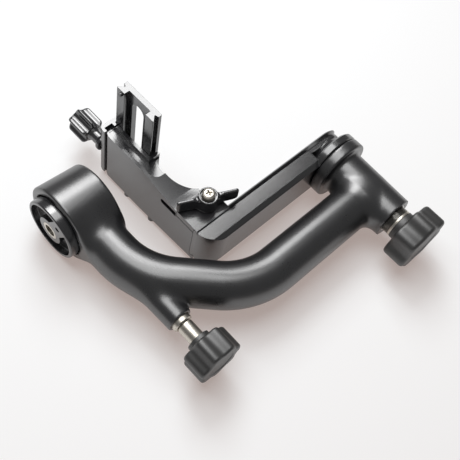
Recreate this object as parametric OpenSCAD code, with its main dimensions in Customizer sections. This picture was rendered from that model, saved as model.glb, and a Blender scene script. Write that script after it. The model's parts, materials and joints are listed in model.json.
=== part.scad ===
// Gimbal head for a tripod: a cast tubular arm turns on a pan base, a swing bar
// hangs from the tilt hub, and a platform with a dovetail clamp rides on the bar.
// Upright frame: Z is the pan axis, X the tilt axis, the lens points along Y.
// The origin is the centre of the face that sits on the tripod.

/* [Pan base] */
// radius of the disc that sits on the tripod
disc_r = 24.0; // [20:0.5:32]
// thickness of the disc
disc_h = 9.0; // [8:0.5:12]
// width of the raised rim round the disc pocket
disc_rim = 2.6; // [2:0.1:5]
// radius of the boss round the tripod thread
disc_boss_r = 11.2; // [9:0.1:14]
// depth of the pocket in the disc
disc_pocket = 5.2; // [2:0.1:6]
// width of the web that ties the boss to the rim
disc_web = 13.0; // [6:0.5:18]
// direction of the web seen from above, degrees
disc_web_dir = -56; // [-180:1:180]
// radius of the tripod thread
thread_r = 4.7625; // [3.1:0.0001:5]
// depth of the tripod thread
thread_d = 13.0; // [8:0.5:16]
// radius of the pan spindle
spindle_r = 9.0; // [7:0.5:11]

/* [Pan hub] */
// height of the lower edge of the pan hub above the tripod
hub_z0 = 7.4; // [6:0.1:9]
// height of the top of the pan hub
hub_z1 = 43.9; // [40:0.1:56]
// radius of the pan hub at its lower edge
hub_r0 = 30.6; // [28:0.1:38]
// radius of the pan hub at its top, smaller by the casting draft
hub_r1 = 28.7; // [26:0.1:36]
// gap round the disc inside the hub skirt
disc_gap = 1.1; // [0.5:0.1:3]
// radius of the cap over the spindle nut
cap_r = 22.0; // [18:0.5:25]

/* [Cast arm] */
// outer radius of the arm tube
tube_r = 17.5; // [14:0.1:20]
// height of the tube axis where it leaves the pan hub
tube_z = 24.0; // [21:0.1:30]
// distance from the pan axis to the upright part of the arm
arm_x = 125.0; // [115:0.5:145]
// radius of each of the two bends
bend_r = 60.0; // [40:1:75]
// length of the slanting run between the bends
slant = 30.0; // [10:1:45]
// reach of the cast fillets along the tube
fillet = 13.0; // [8:0.5:18]

/* [Tilt hub] */
// height of the tilt axis above the tripod
tilt_z = 206.0; // [190:1:230]
// distance from the pan axis to the joint face of the tilt hub
tilt_x0 = 88.75; // [84:0.05:94]
// distance from the pan axis to the outer end of the tilt hub
tilt_x1 = 152.7; // [148:0.1:165]
// radius of the joint flange
flange_r = 25.4; // [21:0.1:27]
// thickness of the joint flange
flange_t = 9.2; // [5:0.1:11]
// radius of the tilt hub behind the flange
tilt_r0 = 18.6; // [17:0.1:22]
// radius of the tilt hub at its outer end
tilt_r1 = 17.2; // [16:0.1:20]
// radius of the tilt shaft
shaft_r = 9.0; // [7:0.5:11]

/* [Lock knobs] */
// height of the pan lock axis
lock_z = 25.0; // [24:0.1:27]
// distance from the pan axis to the end of the pan lock boss
lock_x = 110.6; // [108:0.1:118]
// radius of the pan lock boss
lock_r = 9.8; // [9:0.1:12]
// distance from the pan axis to the pan knob
pan_knob_x = 132.6; // [130:0.1:140]
// largest radius of the pan knob
pan_knob_r = 18.6; // [15:0.1:23]
// length of the pan knob
pan_knob_l = 19.5; // [15:0.5:26]
// distance from the pan axis to the tilt knob
tilt_knob_x = 164.4; // [162:0.1:180]
// largest radius of the tilt knob
tilt_knob_r = 24.4; // [18:0.1:27]
// length of the tilt knob
tilt_knob_l = 19.5; // [15:0.5:26]
// lobes round each knob
knob_lobes = 7; // [5:1:10]

/* [Swing bar] */
// thickness of the swing bar across the tilt axis direction
bar_t = 18.4; // [16:0.1:22]
// half of the depth of the swing bar along the lens
bar_y = 18.0; // [15:0.1:22]
// gap between the swing bar and the tilt hub flange
bar_gap = 0.35; // [0.3:0.05:1]
// chamfer along the outer front edge of the bar
bar_ch = 3.5; // [1:0.1:5]
// chamfer along the outer rear edge of the bar
bar_ch2 = 1.6; // [0.5:0.1:5]
// depth of the grooves in the edges of the bar
groove_d = 2.6; // [2:0.1:3.5]
// height of the lower end of the bar above the tripod
bar_z0 = 72.0; // [66:0.5:80]
// height of the step where the thick part of the bar ends
bar_z1 = 189.5; // [186:0.5:192]
// radius of the rounded lower corner of the bar
bar_round = 15.5; // [6:0.1:16]
// how far the centre of the rounded top lies above the tilt axis
tail_rise = 1.5; // [0:0.1:3]
// thickness of the thin upper end of the bar
tail_w = 7.0; // [5:0.1:9]

/* [Platform] */
// how far each flank of the platform stands out past the joint flange
plat_over = 0.4; // [-1:0.1:4]
// height of the platform floor above its underside
plat_h = 12.1; // [10:0.1:14]
// radius of the scoop between the clamp and the riser
scoop_r = 28.0; // [22:0.5:32]
// height of the riser that rides on the bar
riser_h = 32.0; // [30:0.5:50]
// thickness of the riser between scoop and bar
riser_t = 19.0; // [16:0.5:22]
// depth of the grooves milled in the sides of the platform
side_cut = 4.0; // [2:0.1:6]
// half width of the platform behind the bar
hook_y = 21.8; // [20:0.1:26]
// thickness of the pinch jaw leaf
leaf_t = 4.4; // [3.5:0.1:5.5]
// width of the saw cut behind the leaf
kerf = 0.8; // [0.5:0.1:1.5]

/* [Dovetail clamp and lens plate] */
// distance from the pan axis to the middle of the lens plate
plate_x = -11.4; // [-14:0.1:-6]
// width of the dovetail of the lens plate
plate_w = 38.0; // [37:0.1:39]
// length of the lens plate
plate_l = 97.0; // [84:1:130]
// how far the lens plate stands out behind the clamp centre
plate_rear = 30.5; // [29.5:0.5:60]
// where the lens screw stands in the slot, from the pan axis
lens_y = 8.0; // [-20:1:16]
// thickness of the lens plate
plate_t = 9.0; // [8:0.1:11]
// gap between dovetail and jaws
jaw_gap = 0.3; // [0.2:0.05:0.6]
// thickness of the moving jaw beside the plate
jaw_t = 3.6; // [3.4:0.1:7]
// how far the foot of the moving jaw reaches under the plate
jaw_foot = 2.6; // [0:0.1:4]
// height of the clamp screw above the underside of the platform
clamp_up = 4.9; // [4.5:0.1:7]
// radius of the clamp knob
clamp_knob_r = 11.0; // [9:0.1:14]
// length of the clamp knob
clamp_knob_l = 20.0; // [14:0.5:26]

/* [Wing lever] */
// span of the wing lever
wing_l = 46.5; // [36:0.5:56]
// height of the wings
wing_h = 13.0; // [9:0.5:16]
// thickness of the wings
wing_t = 3.2; // [2.5:0.1:5]
// angle of the wings from upright, degrees
wing_dir = 23.5; // [-90:0.5:90]

/* [Hidden] */
$fn = 72;
fit = 0.03;
seat = 0.3;
bar_x1 = tilt_x0 - bar_gap;
bar_x0 = bar_x1 - bar_t;
tail_t = 1.2;
groove_w = 2.8;
band_x = bar_x0 + tail_t + groove_w;
bend_x = arm_x - bend_r - slant * cos(45);
bend_x2 = bend_x + slant * cos(45);
bend_z = tube_z + bend_r;
bend_z2 = bend_z + slant * sin(45);
arm_sides = 40;
plat_y = flange_r + plat_over;
boss_t = 7.2;
neck_r = flange_r - 5.6;
skirt_r = disc_r + disc_gap;
ring_t = 1.5;
ring_z = disc_h;
skirt_z = ring_z + ring_t + seat;
bush_t = 4.0;
bush_r = spindle_r + bush_t;
bush_l = 6.0;
bush_z = skirt_z;
bush_z2 = hub_z1 - 8.2 - bush_l;
pit_z = bush_z2 + bush_l;
pit_r = 17.0;
washer_t = 1.2;
nut_t = 4.0;
cap_t = 2.4;
stud_r = 4.0;
stud_hole = stud_r + 0.5;
pin_l = 6.0;
pin_x = spindle_r + seat;
lock_boss_in = 34.8;
lock_ins_r = 7.6;
lock_ins_in = 16.0;
lock_ins_out = 3.9;
collar_r = 8.9;
tilt_bush_l = 8.0;
tilt_pit = 13.5;
tilt_pit_r = 13.0;
ring_x = tilt_x1 - tilt_pit + seat;
shaft_end = tilt_x1 - 4.7;
sring_l = 4.0;
sscrew_r = 3.0;
sscrew_in = 18.0;
sscrew_bore = sscrew_in + 2;
sscrew_head_r = 7.2;
tstud_r = 5.0;
tins_l = 4.2;
tins_out = 3.0;
tins_r = 12.0;
tins_x = tilt_x1 - tins_l;
plat_z = bar_z0;
floor_z = plat_z + plat_h;
plate_z = floor_z + seat;
half_w = plate_w / 2;
plate_out = plate_l - plate_rear;
plate_x0 = plate_x - half_w;
plate_x1 = plate_x + half_w;
jaw_x = plate_x0 - jaw_gap - 0.1;
foot_x = jaw_x + jaw_foot;
plat_x0 = foot_x + seat;
fixed_x = plate_x1 + jaw_gap;
fixed_t = 3.6;
riser_x = bar_x0 - seat - riser_t;
scoop_x = riser_x - scoop_r + 1.3;
scoop_z = floor_z + 0.6 + scoop_r;
riser_z = plat_z + riser_h;
hook_x = band_x - 0.35;
leaf_y = -bar_y;
leaf_y1 = leaf_y + leaf_t;
screw_z = plat_z + clamp_up;
cscrew_r = 3.0;
guide_r = 2.0;
guide_y = 15.0;
wing_x = riser_x + 10.3;
wing_z = plat_z + 20.3;
wscrew_r = 3.0;
neck_plate = half_w - 3.3;
lip_plate = half_w - 0.6;
chan = half_w - 8.0;
channel_d = 4.5;
cam_slot_r = 6.0;
slot_x = plate_x - 1.3;
slot_in = 14.2;
stop_in = 2.6;
stop_r = 1.5;
stop_side = half_w - 5.4;
stop_up = 4.8;
stop_down = 2.2;
cap_screw_x = (pit_r + cap_r) / 2;
cap_screw_r = 1.25;
neck_l = 12.4;
cscrew_in = 20.0;
guide_in = 12.0;
nut_r = 14.0;
tstud_in = 9.0;
pstud_in = 8.0;
wscrew_out = 13.0;
wscrew_in = 8.0;
whead_out = 12.4;
whead_h = 3.8;
whead_r = 5.0;
whub_r = 7.2;
whub_out = 13.8;
relief_l = 13.2;
relief_w = 4.8;
wing_gap = 1.3;
cap_thread = 4.5;
head_r = 7.6;
coin_l = 12.0;
coin_w = 1.2;
coin_d = 1.2;
thread_wall = 2.2;
tail_x1 = bar_x0 + tail_w;
lens_r = 3.175;
side_screw_x = [-3, 25];
side_screw_r = 1.6;
side_head_r = 3.1;
side_screw_z = plat_z + 3.4;
run = 0.05;

// which piece to draw

// ---- helpers -------------------------------------------------------------

// a rod along X from x0 to x1 at height z
module xrod(r, x0, x1, z, y = 0) {
  translate([x0, y, z])
    rotate([0, 90, 0])
      cylinder(r = r, h = x1 - x0);
}

// a cone along X from x0 to x1 at height z
module xcone(r0, r1, x0, x1, z) {
  translate([x0, 0, z])
    rotate([0, 90, 0])
      cylinder(r1 = r0, r2 = r1, h = x1 - x0);
}

// a rod along Y from y0 to y1
module yrod(r, y0, y1, x, z) {
  translate([x, y1, z])
    rotate([90, 0, 0])
      cylinder(r = r, h = y1 - y0);
}

// a ring along X
module xring(ro, ri, x0, x1, z) {
  difference() {
    xrod(ro, x0, x1, z);
    xrod(ri, x0 - 1, x1 + 1, z);
  }
}

// a ring along Z
module zring(ro, ri, z0, z1) {
  difference() {
    translate([0, 0, z0])
      cylinder(r = ro, h = z1 - z0);
    translate([0, 0, z0 - 1])
      cylinder(r = ri, h = z1 - z0 + 2);
  }
}

// a turned solid round X: points are [x, radius]
module turned_x(points, z) {
  translate([0, 0, z])
    rotate([0, 90, 0])
      rotate_extrude()
        polygon([for (p = points) [p[1], p[0]]]);
}

// a flat shape drawn in X and Z, as thick as y0 to y1
module slab_y(y0, y1) {
  translate([0, y1, 0])
    rotate([90, 0, 0])
      linear_extrude(height = y1 - y0)
        children();
}

// a lobed grip along X with rounded ends
module lobed_grip(r, l, x, z, lobes) {
  lobe_r = r * 0.30;
  valley_r = r * 0.22;
  intersection() {
    translate([x, 0, z])
      rotate([0, 90, 0])
        linear_extrude(height = l)
          difference() {
            union() {
              circle(r = r * 0.90);
              for (i = [0 : lobes - 1])
                rotate(i * 360 / lobes)
                  translate([r - lobe_r, 0])
                    circle(r = lobe_r);
            }
            for (i = [0 : lobes - 1])
              rotate((i + 0.5) * 360 / lobes)
                translate([r * 1.02, 0])
                  circle(r = valley_r);
          }
    turned_x([
      [x, 0], [x, r - 4.2], [x + 0.5, r - 2.6], [x + 1.4, r - 1.2], [x + 3.0, r - 0.3],
      [x + 4.6, r + 0.1], [x + l - 4.6, r + 0.1], [x + l - 3.0, r - 0.4],
      [x + l - 1.4, r - 1.5], [x + l - 0.5, r - 3.0], [x + l, r - 4.8], [x + l, 0]
    ], z);
  }
}

// ---- pan base ------------------------------------------------------------

module base_disc() {
  color("#26272a")
    difference() {
      rotate_extrude()
        polygon([
          [0, 0], [disc_r - 0.7, 0], [disc_r, 0.7], [disc_r, disc_h - 0.5],
          [disc_r - 0.5, disc_h], [0, disc_h]
        ]);
      difference() {
        translate([0, 0, -1])
          cylinder(r = disc_r - disc_rim, h = disc_pocket + 1);
        translate([0, 0, -2])
          cylinder(r = disc_boss_r, h = disc_pocket + 3);
        rotate([0, 0, disc_web_dir])
          translate([0, -disc_web / 2, -2])
            cube([disc_r, disc_web, disc_pocket + 3]);
      }
      translate([0, 0, -1])
        cylinder(r = thread_r + thread_wall, h = disc_h + 2);
      rotate([0, 0, disc_web_dir])
        translate([(disc_boss_r + disc_r - disc_rim) / 2, 0, -1])
          cylinder(r = 2.0, h = disc_h - 1);
    }
}

module thread_insert() {
  color("#b9b4a6")
    difference() {
      cylinder(r = thread_r + thread_wall, h = thread_d + 1.6);
      translate([0, 0, -1])
        cylinder(r = thread_r, h = thread_d + 1);
    }
}

module grub_screw() {
  color("#3a3b3e")
    rotate([0, 0, disc_web_dir])
      translate([(disc_boss_r + disc_r - disc_rim) / 2, 0, 0.8])
        difference() {
          cylinder(r = 2.0, h = 7.2);
          translate([0, 0, -1])
            cylinder(r = 1.2, h = 3.2, $fn = 6);
        }
}

module friction_ring() {
  color("#e9e6dc")
    zring(disc_r - 2.5, spindle_r + 4.5, ring_z, ring_z + ring_t);
}

module pan_spindle() {
  color("#9a9a98")
    difference() {
      union() {
        translate([0, 0, disc_h])
          cylinder(r = spindle_r + 4.2, h = ring_t);
        translate([0, 0, disc_h])
          cylinder(r = spindle_r, h = pit_z + seat + washer_t + nut_t - disc_h);
      }
      translate([0, 0, disc_h - 1])
        cylinder(r = thread_r + thread_wall, h = thread_d + 1.6 - disc_h + 1);
    }
}

module spindle_washer() {
  color("#c9c7bf")
    zring(pit_r - 1.5, spindle_r, pit_z + seat, pit_z + seat + washer_t);
}

module spindle_nut() {
  color("#8d8d8b")
    difference() {
      translate([0, 0, pit_z + seat + washer_t])
        cylinder(r = nut_r, h = nut_t, $fn = 6);
      translate([0, 0, pit_z])
        cylinder(r = spindle_r, h = nut_t + 4);
    }
}

// ---- cast arm ------------------------------------------------------------

// swell of the tube at the foot of a cast fillet, from 0 where the fillet starts
function swell(d, reach, most) = d <= 0 ? 0 : most * pow(min(d, reach) / reach, 2);

// half width of the tube along Y beside the pan hub, x from the pan axis
function low_y(x) = tube_r + swell(hub_r0 + fillet - 3.6 - x, fillet + 10, 6.0);

// swell of the tube toward the knob under the tilt hub, z above the tripod
function top_swell(z) = swell(z - tilt_z + fillet + 22, 22, 8.4);

// half width of the tube along X there; on the flange side it swells by a third as much
function top_x(z) = tube_r + top_swell(z) * 2 / 3;

// half width of the tube along Y under the tilt hub, drawn in until it ends inside the hub
function top_y(z) = tube_r - 1.2 * pow(max(0, z - tilt_z + 20) / 20, 2);

// one ring of the tube: x, z, direction, half width across the bend, half width along Y
function arm_ring(x, z, dir, a, b) = [
  for (j = [0 : arm_sides - 1])
    let (t = j * 360 / arm_sides)
      [x - a * cos(t) * sin(dir), b * sin(t), z + a * cos(t) * cos(dir)]
];

arm_rings = concat(
  [
    for (i = [0 : 8])
      let (x = 8 + i * (bend_x - 8) / 8)
        arm_ring(x, tube_z, 0, tube_r, low_y(x))
  ],
  [
    for (d = [5 : 5 : 45])
      arm_ring(bend_x + bend_r * sin(d), bend_z - bend_r * cos(d), d, tube_r, tube_r)
  ],
  [
    for (d = [45 : 5 : 90])
      arm_ring(bend_x2 + bend_r * sin(d), bend_z2 - bend_r * cos(d), d, tube_r, tube_r)
  ],
  [
    for (i = [0 : 10])
      let (z = tilt_z - (fillet + 22) * (1 - i / 10))
        arm_ring(arm_x + top_swell(z) / 3, z, 90, top_x(z), top_y(z))
  ]
);

// the tube in one skin through all its rings: straight, bend, slant, bend, upright
module arm_tube() {
  n = arm_sides;
  last = len(arm_rings) - 1;
  polyhedron(
    points = [for (ring = arm_rings) for (p = ring) p],
    faces = concat(
      [[for (j = [n - 1 : -1 : 0]) j]],
      [[for (j = [0 : n - 1]) last * n + j]],
      [
        for (i = [0 : last - 1])
          for (j = [0 : n - 1])
            [i * n + j, i * n + (j + 1) % n, (i + 1) * n + (j + 1) % n]
      ],
      [
        for (i = [0 : last - 1])
          for (j = [0 : n - 1])
            [i * n + j, (i + 1) * n + (j + 1) % n, (i + 1) * n + j]
      ]
    )
  );
}

module cast_arm() {
  color("#2b2c2e")
    difference() {
      union() {
        rotate_extrude()
          polygon([
            [0, hub_z0], [hub_r0 - 1.8, hub_z0], [hub_r0 - 0.5, hub_z0 + 0.5], [hub_r0, hub_z0 + 1.8],
            [hub_r1, hub_z1 - 1.8], [hub_r1 - 0.6, hub_z1 - 0.5], [hub_r1 - 1.8, hub_z1], [0, hub_z1]
          ]);
        arm_tube();
        turned_x([
          [tilt_x0, 0], [tilt_x0, flange_r - 1.9], [tilt_x0 + 1.5, flange_r], [tilt_x0 + flange_t - 1.6, flange_r],
          [tilt_x0 + flange_t - 0.5, flange_r - 0.5], [tilt_x0 + flange_t, flange_r - 1.8],
          [tilt_x0 + flange_t + 0.3, tilt_r0 + 2.6], [tilt_x0 + flange_t + 1.3, tilt_r0 + 1.0],
          [tilt_x0 + flange_t + 3.4, tilt_r0], [tilt_x1 - 1.8, tilt_r1], [tilt_x1 - 0.5, tilt_r1 - 0.5],
          [tilt_x1, tilt_r1 - 1.8], [tilt_x1, 0]
        ], tilt_z);
        turned_x([
          [lock_x - lock_boss_in, 0], [lock_x - lock_boss_in, lock_r + 0.8], [lock_x - 1.0, lock_r], [lock_x, lock_r - 1.0], [lock_x, 0]
        ], lock_z);
      }
      // skirt, spindle bores and cap seat in the pan hub
      translate([0, 0, hub_z0 - 1])
        cylinder(r = skirt_r, h = skirt_z - hub_z0 + 1);
      translate([0, 0, skirt_z - 1])
        cylinder(r = bush_r, h = bush_l + 1);
      translate([0, 0, skirt_z])
        cylinder(r = spindle_r + 2, h = pit_z - skirt_z);
      translate([0, 0, bush_z2])
        cylinder(r = bush_r, h = pit_z - bush_z2 + 1);
      translate([0, 0, pit_z])
        cylinder(r = pit_r, h = hub_z1 - pit_z);
      translate([0, 0, hub_z1 - cap_t])
        cylinder(r = cap_r, h = cap_t + 1);
      for (a = [0 : 120 : 240])
        rotate([0, 0, a])
          translate([cap_screw_x, 0, hub_z1 - cap_t - cap_thread - 0.5])
            cylinder(r = cap_screw_r, h = cap_thread + 1.5);
      // pan lock bore
      xrod(stud_hole, 0, lock_x, lock_z);
      xrod(lock_ins_r, lock_x - lock_ins_in, lock_x + 1, lock_z);
      // tilt bore
      xrod(shaft_r + 2, tilt_x0 - 1, tilt_x1, tilt_z);
      xrod(bush_r, tilt_x0 - 1, tilt_x0 + tilt_bush_l, tilt_z);
      xrod(bush_r, tilt_x1 - tilt_pit - tilt_bush_l, tilt_x1, tilt_z);
      xrod(tilt_pit_r, tilt_x1 - tilt_pit, tilt_x1 + 1, tilt_z);
    }
}

module lower_bush() {
  color("#a98a4c")
    zring(bush_r, spindle_r + fit, bush_z, bush_z + bush_l);
}

module upper_bush() {
  color("#a98a4c")
    zring(bush_r, spindle_r + fit, bush_z2, bush_z2 + bush_l);
}

module hub_cap() {
  color("#232427")
    difference() {
      translate([0, 0, hub_z1 - cap_t])
        cylinder(r = cap_r, h = cap_t);
      translate([0, 0, hub_z1 - 0.7])
        cylinder(r = cap_screw_x - 3.2, h = 1);
      for (a = [0 : 120 : 240])
        rotate([0, 0, a])
          translate([cap_screw_x, 0, 0]) {
            translate([0, 0, hub_z1 - cap_t - 1])
              cylinder(r = cap_screw_r, h = cap_t + 2);
            translate([0, 0, hub_z1 - 1.2])
              cylinder(r1 = cap_screw_r, r2 = cap_screw_r + 1.2, h = 1.21);
          }
    }
}

module cap_screws() {
  color("#3c3d40")
    for (a = [0 : 120 : 240])
      rotate([0, 0, a])
        translate([cap_screw_x, 0, 0])
          difference() {
            union() {
              translate([0, 0, hub_z1 - cap_t - cap_thread])
                cylinder(r = cap_screw_r, h = cap_t + cap_thread - 1.1);
              translate([0, 0, hub_z1 - 1.2])
                cylinder(r1 = cap_screw_r, r2 = cap_screw_r + 1.1, h = 1.1);
            }
            translate([0, 0, hub_z1 - 0.9])
              cylinder(r = 0.8, h = 2, $fn = 6);
          }
}

module pan_insert() {
  color("#d0ccc2")
    difference() {
      union() {
        xrod(lock_ins_r, lock_x - lock_ins_in, lock_x + lock_ins_out - 0.8, lock_z);
        xcone(lock_ins_r, lock_ins_r - 0.8, lock_x + lock_ins_out - 0.8, lock_x + lock_ins_out, lock_z);
      }
      xrod(stud_r + run, lock_x - lock_ins_in - 1, lock_x + lock_ins_out + 1, lock_z);
    }
}

module brake_pin() {
  color("#b08d45")
    difference() {
      xrod(stud_hole - 0.1, spindle_r + 0.2, spindle_r + seat + pin_l, lock_z);
      translate([0, 0, 10])
        cylinder(r = spindle_r + seat, h = 30);
    }
}

// ---- lock knobs ----------------------------------------------------------

module pan_stud() {
  color("#cfccc4")
    xrod(stud_r, pin_x + pin_l + seat, pan_knob_x + pstud_in, lock_z);
}

module pan_knob() {
  color("#1f2022")
    difference() {
      union() {
        xrod(collar_r, pan_knob_x - 4.2, pan_knob_x + 3, lock_z);
        lobed_grip(pan_knob_r, pan_knob_l, pan_knob_x, lock_z, knob_lobes);
      }
      xrod(stud_r + run, pan_knob_x - 6, pan_knob_x + pstud_in + seat, lock_z);
      turned_x([
        [pan_knob_x + pan_knob_l - 0.6, 0], [pan_knob_x + pan_knob_l - 0.6, pan_knob_r - 7.6],
        [pan_knob_x + pan_knob_l + 1, pan_knob_r - 6.6], [pan_knob_x + pan_knob_l + 1, 0]
      ], lock_z);
    }
}

module inner_bush() {
  color("#a98a4c")
    xring(bush_r, shaft_r + fit, tilt_x0, tilt_x0 + tilt_bush_l, tilt_z);
}

module outer_bush() {
  color("#a98a4c")
    xring(bush_r, shaft_r + fit, tilt_x1 - tilt_pit - tilt_bush_l, tilt_x1 - tilt_pit, tilt_z);
}

module tilt_insert() {
  color("#55534b")
    difference() {
      union() {
        xrod(tilt_pit_r, tins_x, tilt_x1 - 0.2, tilt_z);
        for (i = [0 : 3])
          xcone(tins_r - 0.4, tins_r, tilt_x1 - 0.2 + i * 0.8, tilt_x1 - 0.2 + i * 0.8 + 0.4, tilt_z);
        for (i = [0 : 3])
          xcone(tins_r, tins_r - 0.4, tilt_x1 + 0.2 + i * 0.8, tilt_x1 + 0.2 + i * 0.8 + 0.4, tilt_z);
      }
      xrod(tstud_r + run, tins_x - 1, tilt_x1 + 5, tilt_z);
    }
}

module tilt_stud() {
  color("#cfccc4")
    xrod(tstud_r, shaft_end + seat, tilt_knob_x + tstud_in, tilt_z);
}

module tilt_washer() {
  color("#d8d6d0")
    xring(tins_r - 0.3, tstud_r + run, tilt_x1 + tins_out + seat, tilt_x1 + tins_out + 2.7, tilt_z);
}

module tilt_knob() {
  color("#1f2022")
    difference() {
      union() {
        xrod(tins_r, tilt_x1 + tins_out + 2.7, tilt_knob_x + 3, tilt_z);
        lobed_grip(tilt_knob_r, tilt_knob_l, tilt_knob_x, tilt_z, knob_lobes);
      }
      xrod(tstud_r + run, tilt_knob_x - 9, tilt_knob_x + tstud_in + seat, tilt_z);
      turned_x([
        [tilt_knob_x + tilt_knob_l - 0.6, 0], [tilt_knob_x + tilt_knob_l - 0.6, tilt_knob_r - 9],
        [tilt_knob_x + tilt_knob_l + 1, tilt_knob_r - 8], [tilt_knob_x + tilt_knob_l + 1, 0]
      ], tilt_z);
    }
}

// ---- swing bar -----------------------------------------------------------

// section of the thick part of the bar
module bar_section() {
  ya = bar_y;
  polygon([
    [bar_x0, -ya + 1.6], [bar_x0 + tail_t, -ya], [bar_x0 + tail_t + groove_w - 0.3, -ya + groove_d],
    [band_x, -ya + groove_d], [band_x, -ya], [bar_x1 - bar_ch, -ya], [bar_x1, -ya + bar_ch],
    [bar_x1, ya - bar_ch2], [bar_x1 - bar_ch2, ya], [band_x, ya], [band_x, ya - groove_d],
    [bar_x0 + tail_t + groove_w - 0.3, ya - groove_d], [bar_x0 + tail_t, ya], [bar_x0, ya - 1.6]
  ]);
}

// section of the thin upper end of the bar, one side mirrored to the other
module tail_section() {
  ya = bar_y;
  for (s = [0, 1])
    mirror([0, s])
      polygon([
        [bar_x0, -0.01], [bar_x0, ya - 1.6], [bar_x0 + tail_t, ya],
        [bar_x0 + tail_t + groove_w - 0.3, ya - groove_d], [band_x, ya - groove_d],
        [band_x + 0.4, ya - 1.4], [tail_x1 - 0.6, ya - 1.4], [tail_x1, ya - 2.0], [tail_x1, -0.01]
      ]);
}

module swing_bar() {
  color("#2a2b2d")
    difference() {
      union() {
        difference() {
          translate([0, 0, bar_z0])
            linear_extrude(height = bar_z1 - bar_z0)
              bar_section();
          // rounded lower corner
          slab_y(-bar_y - 1, bar_y + 1)
            difference() {
              translate([bar_x1 - bar_round, bar_z0 - 1])
                square([bar_round + 1, bar_round + 1]);
              translate([bar_x1 - bar_round, bar_z0 + bar_round])
                circle(r = bar_round);
            }
          // sloping step at the upper end
          for (s = [-1, 1])
            translate([band_x, s * bar_y, bar_z1])
              rotate([45, 0, 0])
                translate([0, -2.2, -2.2])
                  cube([bar_t, 4.4, 4.4]);
        }
        // thin tail that runs on to the rounded top
        translate([0, 0, bar_z1 - 2])
          linear_extrude(height = tilt_z + tail_rise - bar_z1 + 2)
            tail_section();
        turned_x([
          [bar_x0, 0], [bar_x0, bar_y - 1.6], [bar_x0 + tail_t, bar_y],
          [bar_x0 + tail_t + groove_w - 0.3, bar_y - groove_d], [band_x, bar_y - groove_d],
          [band_x + 0.4, bar_y - 1.4], [tail_x1 - 0.6, bar_y - 1.4], [tail_x1, bar_y - 2.0], [tail_x1, 0]
        ], tilt_z + tail_rise);
        // neck and round boss on the tilt axis
        turned_x([
          [tail_x1 - 1, 0], [tail_x1 - 1, neck_r - 3], [bar_x1 - boss_t - 3.8, neck_r - 3],
          [bar_x1 - boss_t - 1.6, neck_r - 1.8], [bar_x1 - boss_t, neck_r + 1.6],
          [bar_x1 - boss_t + 0.6, flange_r - 1.4], [bar_x1 - boss_t + 2.0, flange_r],
          [bar_x1 - 0.8, flange_r], [bar_x1, flange_r - 0.8], [bar_x1, 0]
        ], tilt_z);
      }
      xrod(shaft_r, bar_x0 + 5, bar_x1 + 1, tilt_z);
      xrod(4.2, bar_x0 - 1, bar_x0 + 6, tilt_z);
      xcone(7.5, 4.2, bar_x0 - 0.01, bar_x0 + 3.3, tilt_z);
      // hole of the stop screw
      xrod(2.0, bar_x0 - 1, bar_x0 + 8, bar_z1 - 6);
    }
}

module tilt_shaft() {
  color("#a5a5a2")
    difference() {
      xrod(shaft_r, bar_x0 + 5, shaft_end, tilt_z);
      xrod(sscrew_r, bar_x0 + 4, bar_x0 + sscrew_bore, tilt_z);
    }
}

module shaft_ring() {
  color("#8d8d8b")
    xring(shaft_r + 3, shaft_r, ring_x, ring_x + sring_l, tilt_z);
}

module shaft_screw() {
  color("#2f3032")
    difference() {
      union() {
        xcone(sscrew_head_r, sscrew_r, bar_x0 + 0.15, bar_x0 + 4.35, tilt_z);
        xrod(sscrew_r, bar_x0 + 4.3, bar_x0 + sscrew_in, tilt_z);
      }
      translate([bar_x0 - 1, 0, tilt_z])
        rotate([0, 90, 0])
          cylinder(r = 2.3, h = 3.6, $fn = 6);
    }
}

module bar_stop() {
  color("#2f3032")
    union() {
      xrod(2.0, bar_x0 - 0.2, bar_x0 + 7, bar_z1 - 6);
      xrod(3.4, bar_x0 - 2.4, bar_x0, bar_z1 - 6);
    }
}

// ---- platform ------------------------------------------------------------

// side outline of the platform in X and Z
module plat_outline() {
  difference() {
    union() {
      translate([plat_x0, plat_z])
        square([bar_x0 - seat - plat_x0, plat_h]);
      translate([fixed_x - 0.01, plat_z])
        square([bar_x0 - seat - fixed_x, riser_h - 7]);
      translate([riser_x, plat_z])
        square([bar_x0 - seat - riser_x, riser_h - 1.5]);
      translate([riser_x + 1.5, plat_z])
        square([bar_x0 - seat - riser_x - 1.5, riser_h]);
      translate([riser_x + 1.5, riser_z - 1.5])
        circle(r = 1.5);
    }
    translate([scoop_x, scoop_z])
      circle(r = scoop_r, $fn = 96);
    translate([fixed_x - 1, scoop_z - scoop_r + 3.5])
      square([fixed_t + 1, 40]);
    // rounded lower left edge
    translate([plat_x0 - 1, plat_z - 1])
      rotate(0)
        polygon([[0, 0], [7, 0], [0, 3.2]]);
  }
}

// plan outline of the platform in X and Y
module plat_plan() {
  polygon([
    [plat_x0, -plat_y + 1], [plat_x0 + 1, -plat_y], [14, -plat_y],
    [riser_x - 7, -bar_y - 1.0], [riser_x, -bar_y - 1.0], [bar_x0, -bar_y],
    [hook_x, -bar_y], [hook_x, bar_y], [bar_x0, hook_y], [riser_x, plat_y - 2.7],
    [14, plat_y], [plat_x0 + 1, plat_y], [plat_x0, plat_y - 1]
  ]);
}

// groove and end scoop milled into each side of the platform
module side_groove() {
  union() {
    translate([plat_x0 - 2, plat_z + 2.4])
      square([48, 7.0]);
    translate([17.4, plat_z + 9.4])
      circle(r = 7.0);
    translate([10.4, plat_z + 9.4])
      square([14.0, 14]);
  }
}

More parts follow.
